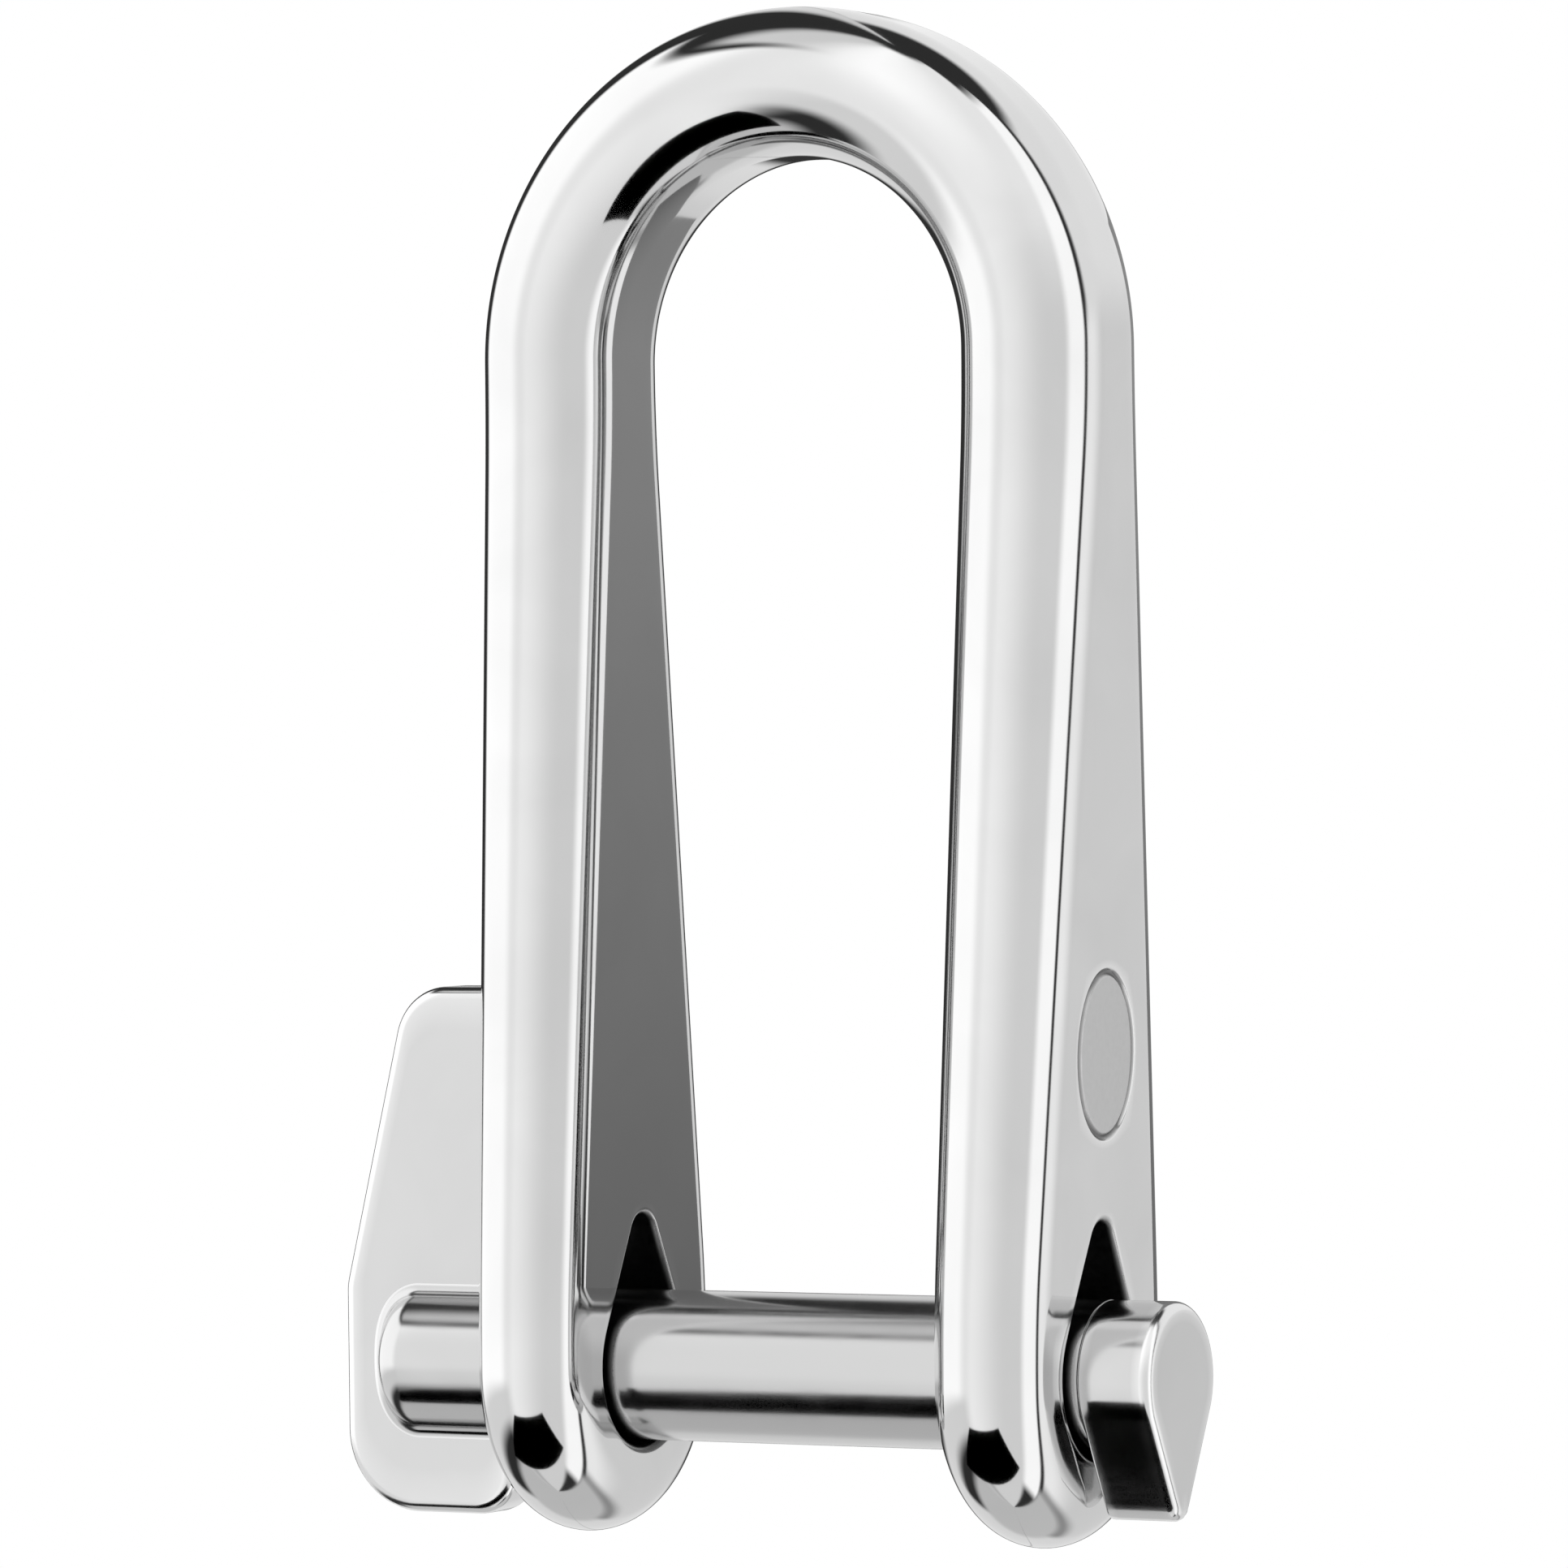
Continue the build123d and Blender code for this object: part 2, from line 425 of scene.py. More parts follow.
def mirrored(grid):
    """The same grid on the left leg."""
    return grid * np.array([-1, 1, 1])


right_rim = ear_rim()
right_faces = ear_faces()
body = piece_from_grids(
    "forged_body",
    [
        (bar, True, mark_opening),
        (pressed_mark(), True, None),
        (right_rim, False, None),
        (right_faces, True, None),
        (mirrored(right_rim), False, None),
        (mirrored(right_faces), True, None),
    ],
)
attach(body, "body")
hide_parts("shackle_body")

# %% [markdown]
# ## The pin and its key
#
# The pin is round for most of its length. Its boss end is domed; at the other end the
# key lug hangs from it, a teardrop like the keyhole but a little smaller, so that it
# passes through when the pin is given half a turn. The grid runs along the pin in
# rings: a ring is a circle on the shaft and a teardrop on the lug.

# %% Pin sizes
lug_length = 3.1 * mm
lug_start = pin_high.x - lug_length
lug_reach = keyhole_reach - tip_clearance
lug_tip = keyhole_tip - pin_clearance
lug_round = 0.45 * mm
lug_back_round = 0.12 * mm
lever_lip = 2.0 * mm  # from the lever's outer edge to the end of the boss
boss_end = pin_low.x + lever_lip
boss_round = 1.6 * mm
ring_points = 192
around = np.linspace(0, 2 * np.pi, ring_points, endpoint=False)


def circle_ring(x, radius):
    """A ring round the pin for each x and radius, with angles counted from straight down."""
    x, radius = np.broadcast_arrays(x, radius)
    return np.stack(
        [
            x[:, None] + 0 * around,
            radius[:, None] * np.sin(around),
            -radius[:, None] * np.cos(around),
        ],
        -1,
    )


def lug_ring(x, inset):
    """A teardrop ring for each x, drawn in from the lug's full size by inset."""
    x, inset = np.broadcast_arrays(x, inset)
    angle = np.where(around > np.pi, around - 2 * np.pi, around)[None, :]
    inset = inset[:, None]
    distance = teardrop(angle, pin_radius - inset, lug_tip - inset, lug_reach - inset)
    return np.stack(
        [x[:, None] + 0 * distance, distance * np.sin(around), -distance * np.cos(around)], -1
    )


def pin_and_lug():
    """Dome, shaft, back of the lug, lug and rounded end, ring after ring, closed at both ends."""
    turn = np.linspace(0, np.pi / 2, 25)
    small_turn = np.linspace(0, np.pi / 2, 6)
    dome_flat = circle_ring(boss_end, np.linspace(0, pin_radius - boss_round, 6)[:-1])
    dome = circle_ring(
        boss_end + boss_round * (1 - np.cos(turn)),
        pin_radius - boss_round * (1 - np.sin(turn)),
    )
    shaft_x = np.linspace(boss_end + boss_round, lug_start, 40)[1:]
    shaft = circle_ring(shaft_x, pin_radius)
    lug_back = lug_ring(
        lug_start + lug_back_round * (1 - np.cos(small_turn)),
        lug_back_round * (1 - np.sin(small_turn)),
    )
    lug_front = lug_ring(
        pin_high.x - lug_round * (1 - np.sin(turn)), lug_round * (1 - np.cos(turn))
    )
    lug_sides = between(lug_back[-1], lug_front[0], 8)[1:-1]
    rings = np.concatenate([dome_flat, dome, shaft, lug_back, lug_sides, lug_front])
    pole = lug_front[-1] * np.array([1.0, 0.0, 0.0])
    end_face = between(lug_front[-1], pole, 8)[1:]
    return np.concatenate([rings, end_face])


pin_rings = pin_and_lug()
print("pin rings:", pin_rings.shape)

# %% [markdown]
# ## The lever
#
# The lever is a flat plate that a finger and thumb can turn. Its outline is five
# corners, each rounded by an arc. The plate is that outline drawn in a little, carried
# round the plate's soft edge.

# %% The lever's outline
lever_thickness = 2.4 * mm
lever_round = 0.5 * mm
lever_length = 7.9 * mm
lever_inner = pin_low.x + lever_length
lever_slope = 0.245  # how far the long edge leans in for each step up
knee = pin_radius  # height at which the edge starts to lean
shoulder = pin_low.x + lever_slope * (pin_high.z - knee)
lever_corners = np.array(
    [
        (lever_inner, pin_low.z),
        (lever_inner, pin_high.z),
        (shoulder, pin_high.z),
        (pin_low.x, knee),
        (pin_low.x, pin_low.z),
    ]
)
corner_radii = np.array([1.8, 0.8, 2.4, 2.5, 3.3]) * mm


def unit(vectors):
    """The same directions at length one."""
    return vectors / np.linalg.norm(vectors, axis=-1, keepdims=True)


def rounded_outline(corners, radii, arc_steps=17, line_step=0.4 * mm):
    """Points and outward normals: at each corner an arc that touches both of its sides."""
    before = unit(corners - np.roll(corners, 1, axis=0))
    after = unit(np.roll(corners, -1, axis=0) - corners)
    start_normal = np.stack([before[:, 1], -before[:, 0]], -1)
    end_normal = np.stack([after[:, 1], -after[:, 0]], -1)
    turn = np.arccos(np.clip((before * after).sum(1), -1, 1))
    centres = corners - (radii / np.cos(turn / 2))[:, None] * unit(start_normal + end_normal)
    points, normals = [], []
    for k in range(len(corners)):
        share = np.linspace(0, 1, arc_steps)[:, None]
        swing = np.sin((1 - share) * turn[k]) * start_normal[k] + np.sin(share * turn[k]) * end_normal[k]
        normal = swing / np.sin(turn[k])
        arc = centres[k] + radii[k] * normal
        points.append(arc)
        normals.append(normal)
        following = (k + 1) % len(corners)
        line_end = centres[following] + radii[following] * start_normal[following]
        steps = max(2, int(np.linalg.norm(line_end - arc[-1]) / line_step))
        inside = np.linspace(0, 1, steps + 1)[1:-1, None]
        points.append((1 - inside) * arc[-1] + inside * line_end)
        normals.append(np.repeat(end_normal[k][None], steps - 1, axis=0))
    return np.concatenate(points), np.concatenate(normals)


# %% [markdown]
# The plate's rows start as a point in the middle of the front face. They widen to the
# outline, turn over the edge in two quarter rounds, and close on the back.

# %% The lever's plate
def lever_plate():
    """Rows from the middle of the front face, over the soft edge, to the middle of the back."""
    outline, normal = rounded_outline(lever_corners, corner_radii)
    turn = np.linspace(0, np.pi / 2, 9)[:, None]
    inset = lever_round * (1 - np.sin(turn))
    y = -lever_thickness / 2 + lever_round * (1 - np.cos(turn))

    def rows(y, inset):
        flat = outline[None] - inset[..., None] * normal[None]
        return np.stack([flat[..., 0], y + 0 * flat[..., 0], flat[..., 1]], -1)

    front_edge = rows(y, inset)
    back_edge = rows(-y[::-1], inset[::-1])
    middle = front_edge[0].mean(0)
    front_middle = np.broadcast_to(middle, front_edge[0].shape)
    back_middle = front_middle * np.array([1, -1, 1])
    return np.concatenate(
        [
            between(front_middle, front_edge[0], 9)[:-1],
            front_edge,
            back_edge,
            between(back_edge[-1], back_middle, 9)[1:],
        ]
    )


plate = lever_plate()
print("lever plate:", plate.shape)

# %% [markdown]
# ## The hollow round between boss and lever
#
# Where the boss stands out of the lever the forging has a hollow round. Imagine a ball
# rolled along the corner so that it touches both: its middle follows a hairpin, and
# the surface is the part of the ball between its two points of contact. The strip is
# closed through the inside of the metal, where it isn't seen.

# %% Roll a ball along the corner
ball = 0.6 * mm
bury_depth = 1.2 * ball


def hollow_round(side):
    """Rows of an arc on the rolling ball, from its contact with the lever to that with the boss.

    Level with the lever's edge the ball's middle keeps a fixed distance from the boss's
    side. Round the dome it keeps a fixed distance from the dome's own small round.
    """
    ball_y = lever_thickness / 2 + ball
    farthest = math.sqrt((pin_radius + ball) ** 2 - ball_y**2)
    bend_x = boss_end + boss_round
    z = farthest * np.sin(np.linspace(np.pi / 2, -np.pi / 2, 121))
    from_axis = np.hypot(z, ball_y)
    lean = np.arccos(np.clip((from_axis - pin_radius + boss_round) / (boss_round + ball), -1, 1))
    x = bend_x - (boss_round + ball) * np.sin(lean)
    boss_normals = np.stack(
        [-np.sin(lean), np.cos(lean) * ball_y / from_axis, np.cos(lean) * z / from_axis], -1
    )
    straight = np.linspace(lever_inner - lever_round, bend_x, 12)[:-1]
    upper = np.stack([straight, 0 * straight + ball_y, 0 * straight + farthest], -1)
    upper_normals = np.repeat(boss_normals[:1], len(straight), axis=0)
    flip = np.array([1, 1, -1])
    bend = np.stack([x, 0 * x + ball_y, z], -1)
    centres = np.concatenate([upper, bend, upper[::-1] * flip])
    to_boss = -np.concatenate([upper_normals, boss_normals, upper_normals[::-1] * flip])
    to_lever = np.array([0.0, -1.0, 0.0])
    gap = np.arccos(np.clip(to_boss @ to_lever, -1, 1))[:, None, None]
    share = np.linspace(0, 1, 13)[None, :, None]
    swing = np.sin((1 - share) * gap) * to_lever + np.sin(share * gap) * to_boss[:, None]
    arc = centres[:, None] + ball * swing / np.sin(gap)
    inwards = unit(to_lever + to_boss)[:, None]
    buried = (arc[:, :1] + arc[:, -1:]) / 2 + bury_depth * inwards
    strip = np.concatenate([arc, buried], 1)
    first_end = 0 * strip[:1] + strip[0].mean(0)
    last_end = 0 * strip[:1] + strip[-1].mean(0)
    return np.concatenate([first_end, strip, last_end]) * np.array([1, side, 1])


key_pin = piece_from_grids(
    "forged_key_pin",
    [
        (pin_rings, True, None),
        (plate, True, None),
        (hollow_round(-1), True, None),
        (hollow_round(1), True, None),
    ],
)
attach(key_pin, "pin")
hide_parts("key_pin")

# %% [markdown]
# ## Where edges wear
#
# Polishing and use round an edge off and leave it brighter and a little rougher than
# the faces. Each vertex is given a number for how sharply the surface bends outwards
# there. The finishes read it to know where the edges are.

# %% Mark the worn edges
gentle_bend = 1 / (1.8 * mm)
sharp_bend = 1 / (0.4 * mm)


def mark_worn_edges(piece):
    """Stores how far a vertex's outward curvature lies between a gentle round and a sharp edge."""
    mesh = piece.data
    points = np.empty(3 * len(mesh.vertices))
    normals = np.empty(3 * len(mesh.vertices))
    ends = np.empty(2 * len(mesh.edges), int)
    mesh.vertices.foreach_get("co", points)
    mesh.vertices.foreach_get("normal", normals)
    mesh.edges.foreach_get("vertices", ends)
    start, stop = ends.reshape(-1, 2).T
    points, normals = points.reshape(-1, 3), normals.reshape(-1, 3)
    step = points[stop] - points[start]
    bend = ((normals[stop] - normals[start]) * step).sum(1) / (step**2).sum(1)
    sharpest = np.zeros(len(mesh.vertices))
    np.maximum.at(sharpest, start, bend)
    np.maximum.at(sharpest, stop, bend)
    wear = np.clip((sharpest - gentle_bend) / (sharp_bend - gentle_bend), 0, 1)
    attribute = mesh.attributes.new("worn_edge", "FLOAT", "POINT")
    attribute.data.foreach_set("value", wear)
    print(piece.name, "share of worn vertices", round(float((wear > 0.3).mean()), 3))


for piece in (body, key_pin):
    mark_worn_edges(piece)

# %% [markdown]
# The polishing wheel can't reach into the keyholes, or into the pressed oval. They stay as the tool left
# them, matt.
# The keyholes and the oval's groove are also given a dark colour, which is painted shade in those
# hollows. Two more numbers tell the finish where.

# %% Mark what the wheel can't reach, and where shade is painted
oval_edge_share = 1 / 12  # of the oval's radius, over which its finish fades in
rim_share = 0.1  # of the keyhole's rounded rim, left as matt as the wall


def mark_matt_and_painted_shade(piece):
    """Stores 1 on a keyhole's wall, falling to 0 over its rounded rim, 1 in the oval, and the groove's
    depth as a share; keyhole and groove mark painted shade.
    """
    mesh = piece.data
    points = np.empty(3 * len(mesh.vertices))
    mesh.vertices.foreach_get("co", points)
    x, y, z = points.reshape(-1, 3).T
    angle = np.arctan2(y, z)
    wall = teardrop(angle, hole_radius, keyhole_tip, keyhole_reach)
    outside = np.hypot(y, z) - wall
    keyhole = np.clip(1 + rim_share - outside / hole_round, 0, 1)
    half_width, half_height = mark_width / 2, mark_height / 2
    spread = np.hypot(y / half_width, (z - mark_middle) / half_height)
    on_outside = x > inner_face + ear_thickness / 2
    oval = np.where(on_outside, np.clip((1 - spread) / oval_edge_share, 0, 1), 0)
    pressed_in = inner_face + bar_thickness(z) - x
    groove = np.where(oval > 0, np.clip(pressed_in / mark_depth, 0, 1), 0)
    for name, values in (("keyhole", keyhole), ("pressed_oval", oval), ("groove", groove)):
        attribute = mesh.attributes.new(name, "FLOAT", "POINT")
        attribute.data.foreach_set("value", values)
    print(piece.name, "vertices in the keyholes", int((keyhole > 0.5).sum()))


mark_matt_and_painted_shade(body)

# %% [markdown]
# ## Finishes
#
# Both pieces are the same stainless steel, and differ in how far they were polished.
# Each finish has three layers: slow waves left by the forging and the polishing
# wheel, fine lines from the last grit, and smudges that blur the shine a little.

# %% Node helper and colours
def add(tree, kind, links=None, **settings):
    """Adds one node, sets its properties, and fills its inputs with values or sockets."""
    made = tree.nodes.new(kind)
    for name, value in settings.items():
        setattr(made, name, value)
    for socket, value in (links or {}).items():
        if isinstance(value, bpy.types.NodeSocket):
            tree.links.new(value, made.inputs[socket])
        else:
            made.inputs[socket].default_value = value
    return made


def colour(code):
    """A hex sRGB colour as linear RGB with alpha."""
    values = [int(code[i : i + 2], 16) / 255 for i in (1, 3, 5)]
    linear = [v / 12.92 if v <= 0.04045 else ((v + 0.055) / 1.055) ** 2.4 for v in values]
    return (*linear, 1.0)


def blend(tree, share, first, second):
    """Mixes two colours, from all first at share 0 to all second at share 1."""
    colours = {"Factor": share, "A": first, "B": second}
    return add(tree, "ShaderNodeMix", colours, data_type="RGBA").outputs["Result"]


rubbed_roughness = 0.05  # what wear adds, at an edge or along the shaft
line_share = 0.6  # how much of the finish's range of roughness the fine lines add


def start_steel(name, bright, dark, waviness, line_stretch, line_height, shine, dull):
    """The layers both finishes share, as the material, then the sockets to build on."""
    material = bpy.data.materials.new(name)
    material.use_nodes = True
    tree = material.node_tree
    shader = tree.nodes["Principled BSDF"]
    shader.inputs["Metallic"].default_value = 1.0
    place = add(tree, "ShaderNodeTexCoord").outputs["Object"]
    wear = add(tree, "ShaderNodeAttribute", attribute_name="worn_edge").outputs["Fac"]

    # slow waves, 4 mm from crest to crest
    waves = add(tree, "ShaderNodeTexNoise", {"Vector": place, "Scale": 1 / (4 * mm), "Detail": 1.0})
    # polishing lines: really a few hundredths of a millimetre wide, drawn at 0.1 mm to show at all
    stretched = add(tree, "ShaderNodeVectorMath", {0: place, 1: line_stretch}, operation="MULTIPLY")
    line_settings = {"Vector": stretched.outputs[0], "Scale": 1 / (0.1 * mm), "Detail": 3.0}
    lines = add(tree, "ShaderNodeTexNoise", line_settings)
    # smudges a few millimetres across, with soft broken edges
    smudge_settings = {"Vector": place, "Scale": 1 / (6 * mm), "Detail": 4.0, "Distortion": 0.6}
    smudges = add(tree, "ShaderNodeTexNoise", smudge_settings).outputs["Fac"]

    shine_range = {"Value": smudges, "From Min": 0.35, "From Max": 0.7, "To Min": shine, "To Max": dull}
    smudged = add(tree, "ShaderNodeMapRange", shine_range)
    with_lines = {0: lines.outputs["Fac"], 1: line_share * (dull - shine), 2: smudged.outputs[0]}
    lined = add(tree, "ShaderNodeMath", with_lines, operation="MULTIPLY_ADD")
    with_wear = {0: wear, 1: rubbed_roughness, 2: lined.outputs[0]}
    roughness = add(tree, "ShaderNodeMath", with_wear, operation="MULTIPLY_ADD").outputs[0]

    wavy = add(tree, "ShaderNodeBump", {"Distance": waviness, "Height": waves.outputs["Fac"]})
    fine_settings = {"Distance": line_height, "Height": lines.outputs["Fac"], "Normal": wavy.outputs[0]}
    fine = add(tree, "ShaderNodeBump", fine_settings)
    tree.links.new(fine.outputs[0], shader.inputs["Normal"])

    tone = blend(tree, smudges, colour(bright), colour(dark))
    tone = blend(tree, wear, tone, colour("#E8E8E8"))
    return material, place, tone, roughness


# %% [markdown]
# The body was taken to a mirror on a polishing wheel. What tells the eye that it is
# metal and not glass is the waves: straight reflections waver a little along the leg.
# The field inside the oval was left as the die pressed it, so it is matt. The oval's groove and the
# keyholes are painted darker: painted shade in the hollows.

# %% Mirror-polished forged stainless steel
def mirror_finish():
    """Waves along the legs, faint lines up them, matt metal where no wheel reached, and painted shade in
    the keyholes and the oval's groove.
    """
    material, place, tone, roughness = start_steel(
        "stainless steel, forged and mirror polished",
        bright="#DFDFDF",
        dark="#D2D2D2",
        waviness=0.004 * mm,
        line_stretch=(1.0, 1.0, 0.06),
        line_height=0.00005 * mm,
        shine=0.035,
        dull=0.08,
    )
    tree = material.node_tree
    shader = tree.nodes["Principled BSDF"]
    keyhole = add(tree, "ShaderNodeAttribute", attribute_name="keyhole").outputs["Fac"]
    oval = add(tree, "ShaderNodeAttribute", attribute_name="pressed_oval").outputs["Fac"]
    groove = add(tree, "ShaderNodeAttribute", attribute_name="groove").outputs["Fac"]
    tone = blend(tree, oval, tone, colour("#C8C8C8"))
    # painted shade: the oval's groove darkens with its depth
    tone = blend(tree, groove, tone, colour("#6A6A6A"))
    # painted shade: the keyholes' walls and rims go near black
    tone = blend(tree, keyhole, tone, colour("#3C3C3C"))
    tree.links.new(tone, shader.inputs["Base Color"])
    # scale left by the forging, in grains a quarter of a millimetre across
    grains = add(tree, "ShaderNodeTexNoise", {"Vector": place, "Scale": 1 / (0.25 * mm), "Detail": 2.0})
    grain_range = {"Value": grains.outputs["Fac"], "From Min": 0.3, "From Max": 0.7}
    matt = add(tree, "ShaderNodeMapRange", grain_range | {"To Min": 0.3, "To Max": 0.45})
    unreached = add(tree, "ShaderNodeMath", {0: keyhole, 1: oval}, operation="MAXIMUM")
    both = {"Factor": unreached.outputs[0], "A": roughness, "B": matt.outputs[0]}
    tree.links.new(add(tree, "ShaderNodeMix", both).outputs["Result"], shader.inputs["Roughness"])
    return material


# %% [markdown]
# The ends of the key pin were polished with the body, a little less finely. Its shaft
# was turned and then only rubbed along its length, and the ears rub it too. Its
# reflections are the same as the body's, blurred.

# %% Satin stainless steel
def satin_finish():
    """Lines along the pin, and a duller, greyer shaft between the outsides of the ears."""
    material, place, tone, roughness = start_steel(
        "stainless steel, forged and satin polished",
        bright="#D6D6D6",
        dark="#CACACA",
        waviness=0.003 * mm,
        line_stretch=(0.08, 1.0, 1.0),
        line_height=0.0003 * mm,
        shine=0.07,
        dull=0.14,
    )
    tree = material.node_tree
    shader = tree.nodes["Principled BSDF"]
    along = add(tree, "ShaderNodeSeparateXYZ", {0: place}).outputs["X"]
    from_middle = add(tree, "ShaderNodeMath", {0: along}, operation="ABSOLUTE").outputs[0]
    outside = inner_face + ear_thickness
    fade_length = 0.4 * mm
    fade = {"Value": from_middle, "From Min": outside - fade_length, "From Max": outside}
    shaft = add(tree, "ShaderNodeMapRange", fade | {"To Min": 1.0, "To Max": 0.0}).outputs[0]
    tree.links.new(blend(tree, shaft, tone, colour("#CCCCCC")), shader.inputs["Base Color"])
    with_rubbing = {0: shaft, 1: rubbed_roughness, 2: roughness}
    rubbed = add(tree, "ShaderNodeMath", with_rubbing, operation="MULTIPLY_ADD")
    tree.links.new(rubbed.outputs[0], shader.inputs["Roughness"])
    return material


body.data.materials.append(mirror_finish())
key_pin.data.materials.append(satin_finish())
print("finishes:", body.data.materials[0].name, "/", key_pin.data.materials[0].name)

# %% [markdown]
# ## The light
#
# Polished steel has no look of its own: it shows the room. Small metal parts are
# usually pictured in a white tent with black cards set in gaps, which draw the dark
# lines that give a mirror its shape. The world does the tent's work here. Each panel
# covers a range of directions, given as an angle to the side of the camera and an
# angle of height, with soft edges.

# %% The tent
front = Vector((towards_camera.x, towards_camera.y, 0)).normalized()
right = Vector((camera_right.x, camera_right.y, 0)).normalized()

# For each panel: its label, then four edges in degrees, each with its softness (the side it
# starts and ends at, the height it starts and ends at), and its brightness. Sides run from
# -180 to 180, positive to the right of the camera. Heights run from -90 to 90. Where panels
# overlap, they add up. In the gaps between them there is only the dim room.
tent = (
    ("front panel", (-67, 15), (46, 7), (-92, 1), (84, 3), 0.82),
    ("front panel, brighter side", (-60, 10), (-20, 35), (-50, 10), (84, 3), 0.32),
    ("front panel, brighter top", (-50, 10), (46, 7), (25, 20), (84, 3), 0.25),
    ("left softbox", (-142, 5), (-67, 15), (-10, 5), (44, 3), 1.36),
    ("left softbox, lower part", (-142, 5), (-67, 15), (-32, 6), (-10, 5), 0.85),
    ("left roof", (-103, 15), (-67, 15), (50, 3), (84, 3), 0.8),
    ("right strip", (46, 7), (75, 2), (-60, 5), (70, 5), 1.3),
    ("right rear panel", (81, 2), (158, 6), (-45, 8), (9, 5), 0.78),
    ("right rear panel, brighter edge", (81, 2), (104, 14), (-45, 8), (9, 5), 0.32),
    ("rear panel", (84, 4), (180, 0.5), (9, 5), (57, 5), 0.95),
    ("rear panel, far side", (-180, 0.5), (-173, 4), (9, 5), (84, 3), 0.8),
    ("table at the left", (-180, 0.5), (-70, 8), (-92, 1), (-50, 5), 0.62),
    ("table at the left, far end", (-180, 0.5), (-142, 5), (-50, 5), (-14, 4), 0.85),
    ("table at the right", (76, 5), (180, 0.5), (-92, 1), (-50, 5), 0.62),
    ("table at the right, far end", (158, 6), (180, 0.5), (-50, 5), (-14, 4), 0.85),
)
world = bpy.data.worlds.new("white tent")
bpy.context.scene.world = world
world.use_nodes = True
tree = world.node_tree
direction = add(tree, "ShaderNodeTexCoord").outputs["Generated"]
to_right = add(tree, "ShaderNodeVectorMath", {0: direction, 1: right}, operation="DOT_PRODUCT")
to_front = add(tree, "ShaderNodeVectorMath", {0: direction, 1: front}, operation="DOT_PRODUCT")
upwards = add(tree, "ShaderNodeSeparateXYZ", {0: direction}).outputs["Z"]
across_and_ahead = {0: to_right.outputs["Value"], 1: to_front.outputs["Value"]}
side = add(tree, "ShaderNodeMath", across_and_ahead, operation="ARCTAN2")
height = add(tree, "ShaderNodeMath", {0: upwards}, operation="ARCSINE")

dim_room = 0.035
glow = dim_room
for label, side_low, side_high, height_low, height_high, brightness in tent:
    side_edges = ((side, side_low, 1), (side, side_high, -1))
    height_edges = ((height, height_low, 1), (height, height_high, -1))
    panel = brightness
    for angle, (edge, softness), rising in side_edges + height_edges:
        fade_range = {
            "Value": angle.outputs[0],
            "From Min": math.radians(edge - rising * softness),
            "From Max": math.radians(edge + rising * softness),
        }
        fade = add(tree, "ShaderNodeMapRange", fade_range, interpolation_type="SMOOTHSTEP", label=label)
        both = {0: fade.outputs[0], 1: panel}
        panel = add(tree, "ShaderNodeMath", both, operation="MULTIPLY").outputs[0]
    glow = add(tree, "ShaderNodeMath", {0: glow, 1: panel}, operation="ADD").outputs[0]
tree.links.new(glow, tree.nodes["Background"].inputs["Strength"])
tree.nodes["Background"].inputs["Color"].default_value = (1, 1, 1, 1)
print("tent panels:", len(tent))

# %% [markdown]
# Two cards stand close to the shackle, so they look different from each part of it.
# The black one lies low in front. It draws the dark line along the pin, the dark spot
# at the foot of each ear and the dark arc under the crown. The grey one, behind,
# darkens the inside of the left leg. The camera can't see them.

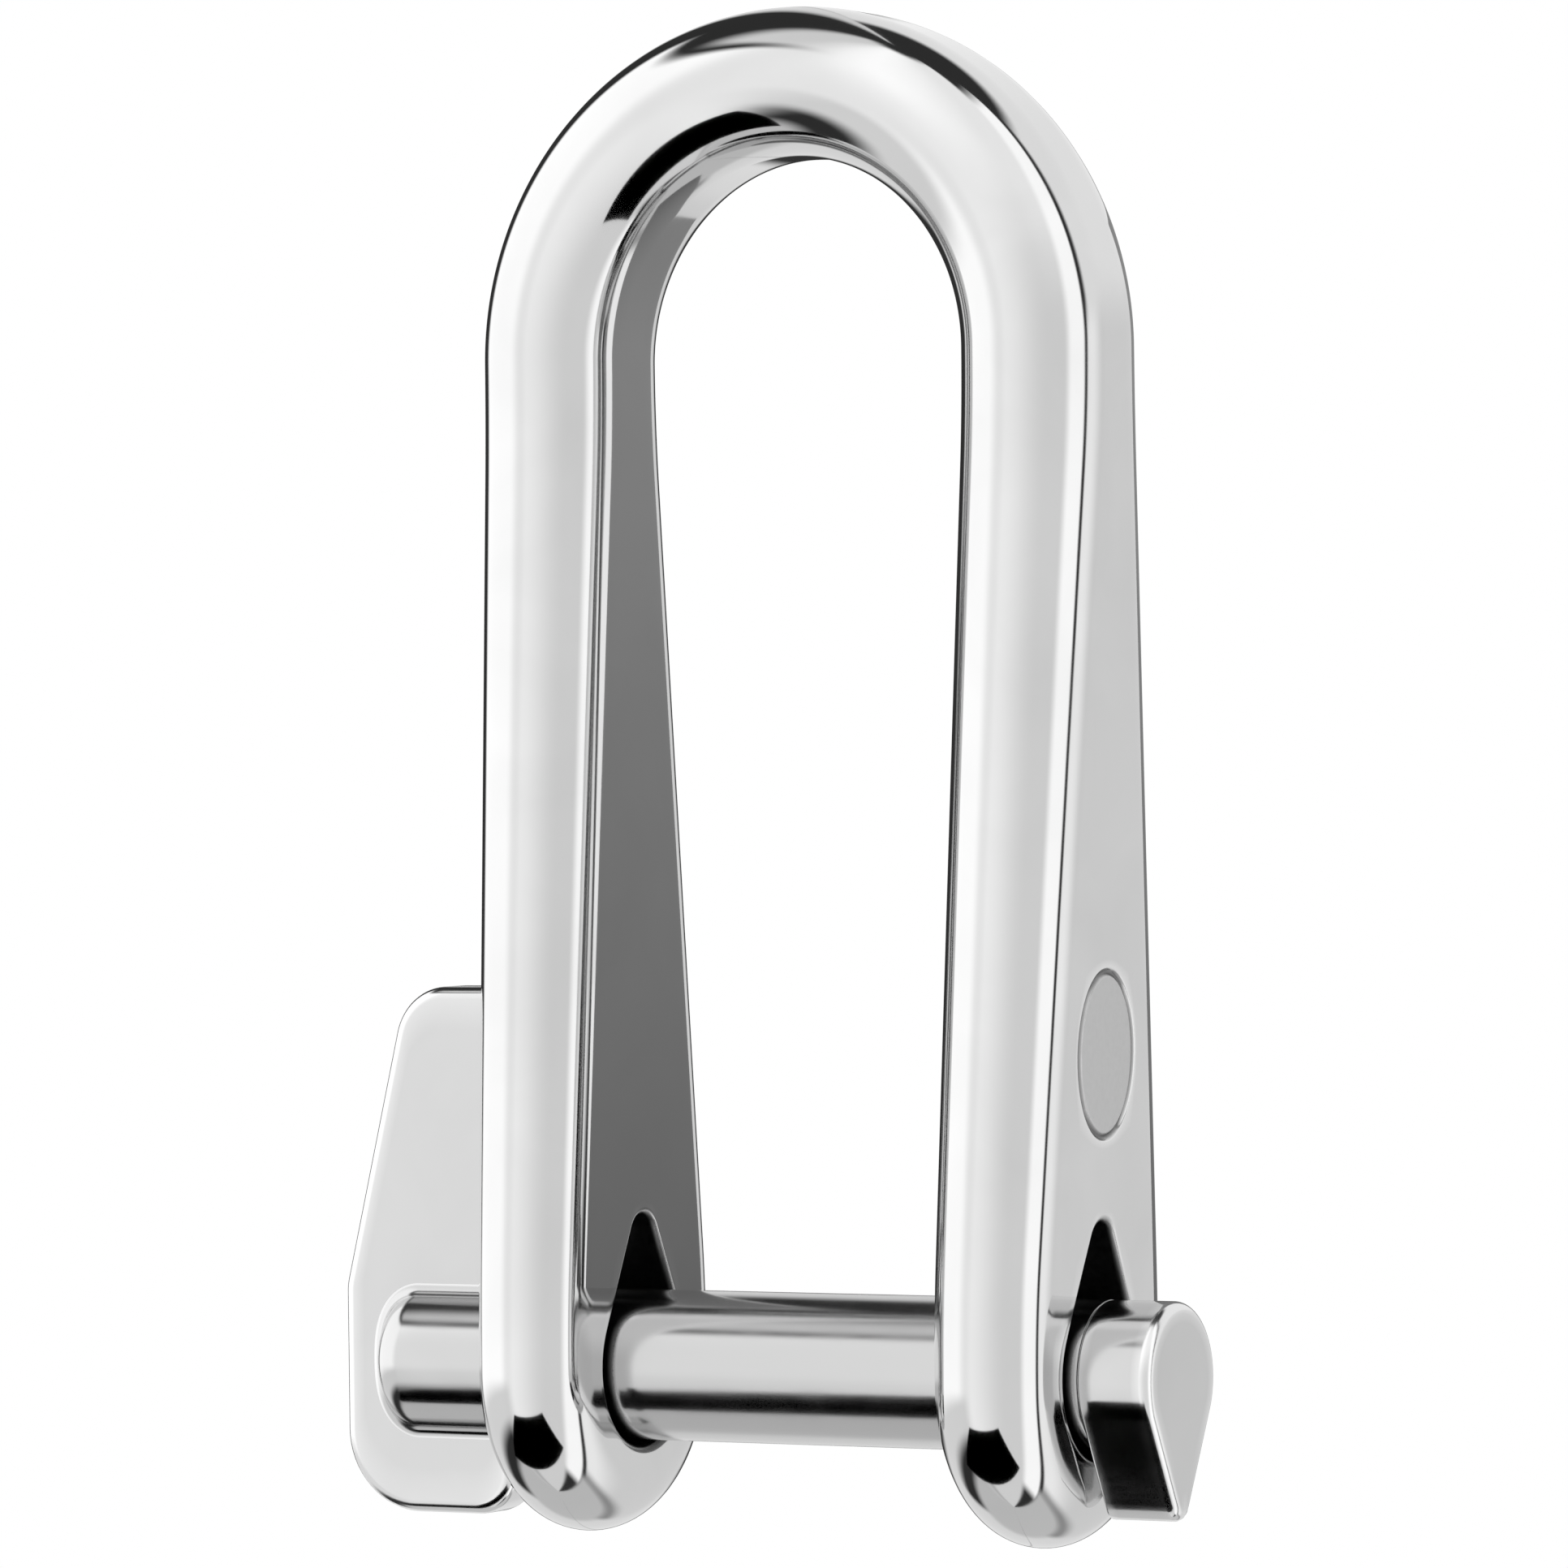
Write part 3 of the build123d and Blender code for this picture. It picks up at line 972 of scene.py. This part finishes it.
# %% The cards
def card(name, corner, first_side, second_side, low_brightness, high_brightness):
    """A flat sheet from one corner along two sides, with a light that changes with height."""
    near_edge = [corner, corner + first_side]
    far_edge = [corner + second_side, corner + first_side + second_side]
    sheet = piece_from_grids(name, [(np.array([near_edge, far_edge]), False, None)])
    material = bpy.data.materials.new(name)
    material.use_nodes = True
    tree = material.node_tree
    place = add(tree, "ShaderNodeTexCoord").outputs["Object"]
    level = add(tree, "ShaderNodeSeparateXYZ", {0: place}).outputs["Z"]
    rise = {"Value": level, "From Max": crown_centre, "To Min": low_brightness, "To Max": high_brightness}
    strength = add(tree, "ShaderNodeMapRange", rise)
    light = add(tree, "ShaderNodeEmission", {"Strength": strength.outputs[0]})
    tree.links.new(light.outputs[0], tree.nodes["Material Output"].inputs["Surface"])
    sheet.data.materials.append(material)
    sheet.visible_camera = False


behind = Vector((front.x, -front.y, 0))
across_behind = Vector((behind.y, -behind.x, 0))
upright = Vector((0, 0, 1))
card(
    "black card in front",
    corner=Vector((-110, -180, -110)) * mm,
    first_side=Vector((205, 0, 0)) * mm,
    second_side=Vector((0, 136, 0)) * mm,
    low_brightness=0.0,
    high_brightness=0.0,
)
card(
    "grey card",
    corner=(behind * 18 - across_behind * 15 - upright * 4) * mm,
    first_side=across_behind * 21.5 * mm,
    second_side=upright * 52 * mm,
    low_brightness=0.17,
    high_brightness=0.3,
)

# %% [markdown]
# ## Backdrop
#
# A round white sweep stands behind and under the shackle, far enough away to catch no
# shadow. It isn't seen in the reflections, which come from the tent alone.

# %% The sweep
floor_level = -0.4
wall_radius = 1.4
bend = 0.5
wall_top = 1.6


def sweep():
    """A flat floor that curves up into a wall: the profile is turned about the upright axis."""
    turn = np.linspace(0, np.pi / 2, 13)
    radius = np.concatenate([[0.0], wall_radius - bend * (1 - np.sin(turn)), [wall_radius]])
    level = np.concatenate([[0.0], bend * (1 - np.cos(turn)), [wall_top]]) + floor_level
    spin = np.linspace(0, 2 * np.pi, 64, endpoint=False)
    x = radius[:, None] * np.cos(spin)
    y = radius[:, None] * np.sin(spin)
    return np.stack([x, y, level[:, None] + 0 * x], -1)


backdrop = piece_from_grids("backdrop", [(sweep(), True, None)])
paper = bpy.data.materials.new("white paper, lit evenly")
paper.use_nodes = True
light_paper = add(paper.node_tree, "ShaderNodeEmission", {"Color": colour("#FFFFFF"), "Strength": 1.0})
paper_end = paper.node_tree.nodes["Material Output"].inputs["Surface"]
paper.node_tree.links.new(light_paper.outputs[0], paper_end)
backdrop.data.materials.append(paper)
backdrop.visible_glossy = False
bpy.context.scene.view_settings.view_transform = "Standard"
print("backdrop", round(2 * wall_radius, 2), "m across")
